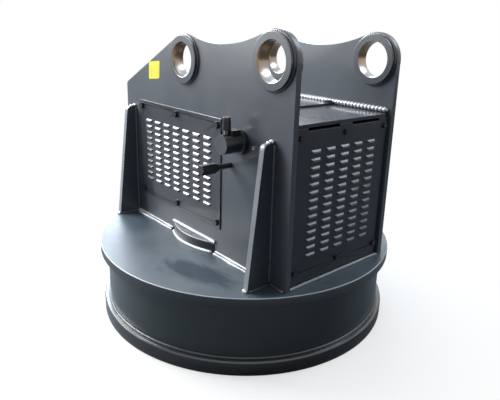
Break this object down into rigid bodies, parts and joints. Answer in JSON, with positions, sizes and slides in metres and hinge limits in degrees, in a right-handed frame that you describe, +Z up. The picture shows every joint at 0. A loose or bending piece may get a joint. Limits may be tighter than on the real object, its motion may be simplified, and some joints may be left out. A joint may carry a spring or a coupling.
{
  "type": "excavator magnet",
  "caption": "Round lifting magnet with a built-in hydraulic generator, louvred covers and two pinned cheeks for an excavator's stick and link.",
  "frame": {"origin": "middle of the magnet's round underside, on the ground", "axes": "+X along the cheeks towards the louvred end door and the link pin, +Y from the front cheek with the ports to the back cheek, +Z up"},
  "size_m": [0.8499, 0.85, 0.7985],
  "materials": {
    "charcoal_paint": "satin-gloss charcoal paint",
    "black_paint": "gloss black paint",
    "bare_steel": "bare machined steel",
    "dark_fastener": "dark coated steel",
    "grey_steel": "grey coated steel",
    "pole_steel": "bare mild steel",
    "wear_steel": "non-magnetic steel plate",
    "coil_varnish": "varnished coil winding",
    "machine_grey": "machine grey enamel",
    "zinc_pipe": "zinc plated steel pipe",
    "black_plastic": "black plastic",
    "box_grey": "light grey powder coat"
  },
  "bodies": {
    "root": {"outer_pole_ring": "charcoal_paint", "drum_wall": "charcoal_paint", "top_plate": "charcoal_paint", "centre_core": "pole_steel", "coil_wear_plate": "wear_steel", "coil_winding": "coil_varnish", "centre_hub": "charcoal_paint", "front_cheek": "charcoal_paint", "back_cheek": "charcoal_paint", "front_left_gusset": "charcoal_paint", "front_right_gusset": "charcoal_paint", "back_left_gusset": "charcoal_paint", "back_right_gusset": "charcoal_paint", "front_stick_pin_boss": "bare_steel", "back_stick_pin_boss": "bare_steel", "front_link_pin_boss": "bare_steel", "back_link_pin_boss": "bare_steel", "front_side_cover": "black_paint", "back_side_cover": "black_paint", "front_side_cover_bolts": "dark_fastener", "back_side_cover_bolts": "dark_fastener", "right_end_door": "black_paint", "left_end_door": "black_paint", "right_door_frame": "charcoal_paint", "left_door_frame": "charcoal_paint", "right_end_door_bolts": "dark_fastener", "left_end_door_bolts": "dark_fastener", "roof_plate": "charcoal_paint", "hatch_cover": "charcoal_paint", "hatch_cover_bolts": "dark_fastener", "pressure_port": "grey_steel", "pressure_port_cap": "black_plastic", "drain_port": "black_paint", "drain_port_cap": "dark_fastener", "blanking_plug": "dark_fastener", "machinery_floor": "charcoal_paint", "generator_housing": "machine_grey", "generator_foot_bolts": "zinc_pipe", "generator_end_bell": "machine_grey", "motor_adapter": "pole_steel", "hydraulic_motor": "pole_steel", "pressure_pipe": "zinc_pipe", "drain_pipe": "zinc_pipe", "control_box": "box_grey", "control_box_lid": "box_grey", "coil_lead_gland": "black_plastic", "coil_lead_conduit": "black_plastic"}
  },
  "joints": []
}
